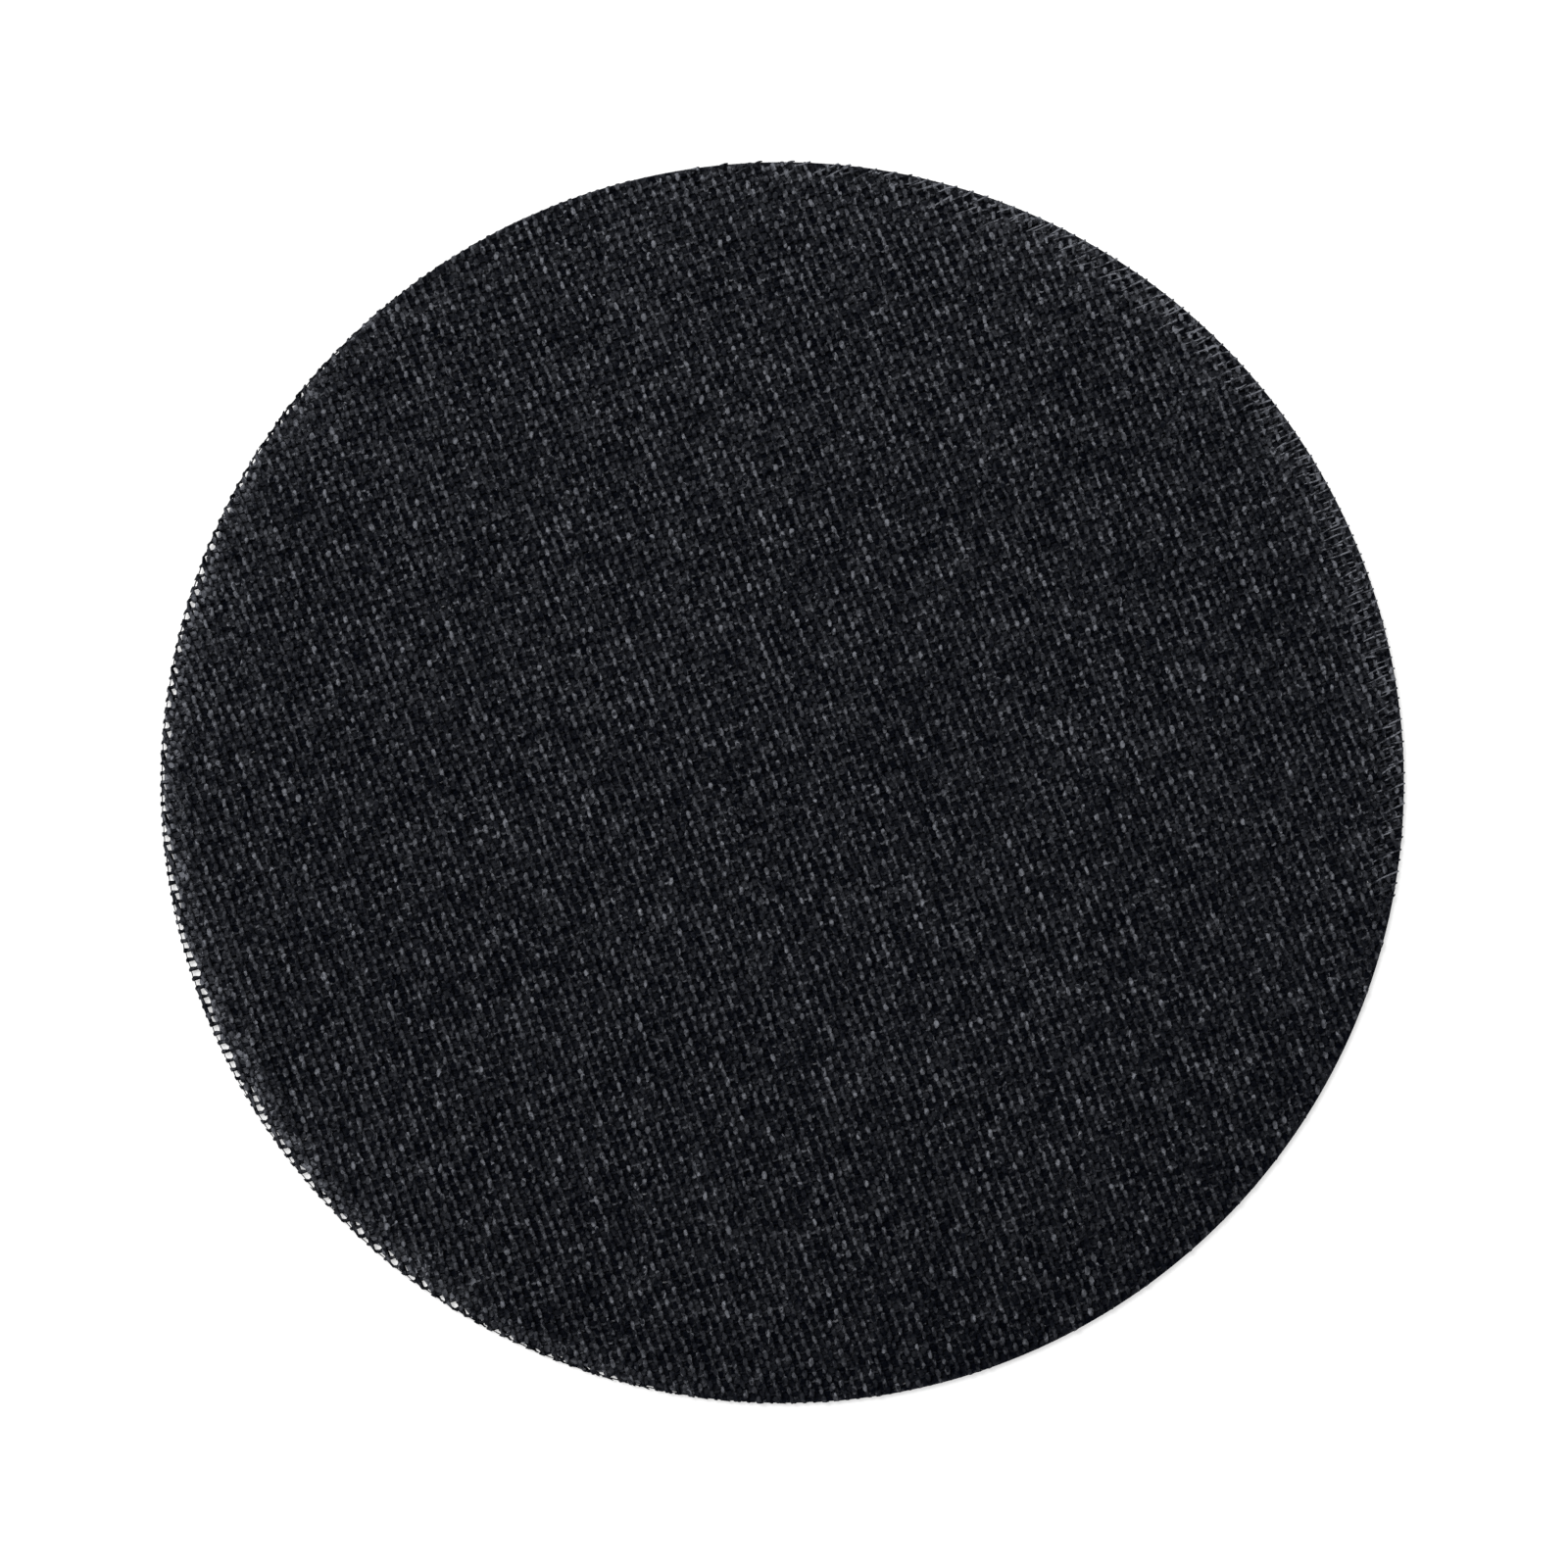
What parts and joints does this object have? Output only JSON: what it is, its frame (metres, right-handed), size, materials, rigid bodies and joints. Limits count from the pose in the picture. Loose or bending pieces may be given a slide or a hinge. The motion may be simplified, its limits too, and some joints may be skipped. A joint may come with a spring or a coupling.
{
  "type": "mesh sanding disc",
  "caption": "Round dust-free sanding disc of knitted abrasive net, grit on one face and a pile of loops on the other that clings to a hook pad.",
  "frame": {"origin": "middle of the loop face, which the disc rests on", "axes": "+Z points out of the grit face, +X to the right and +Y to the top of the pictured view"},
  "size_m": [0.15, 0.15, 0.0013],
  "materials": {
    "gritted_net": "near-black knitted polyamide net coated with dark grey abrasive grain in resin, glinting in fine specks, with matte black pile loops on the back"
  },
  "bodies": {
    "root": {"mesh_disc": "gritted_net"}
  },
  "joints": []
}
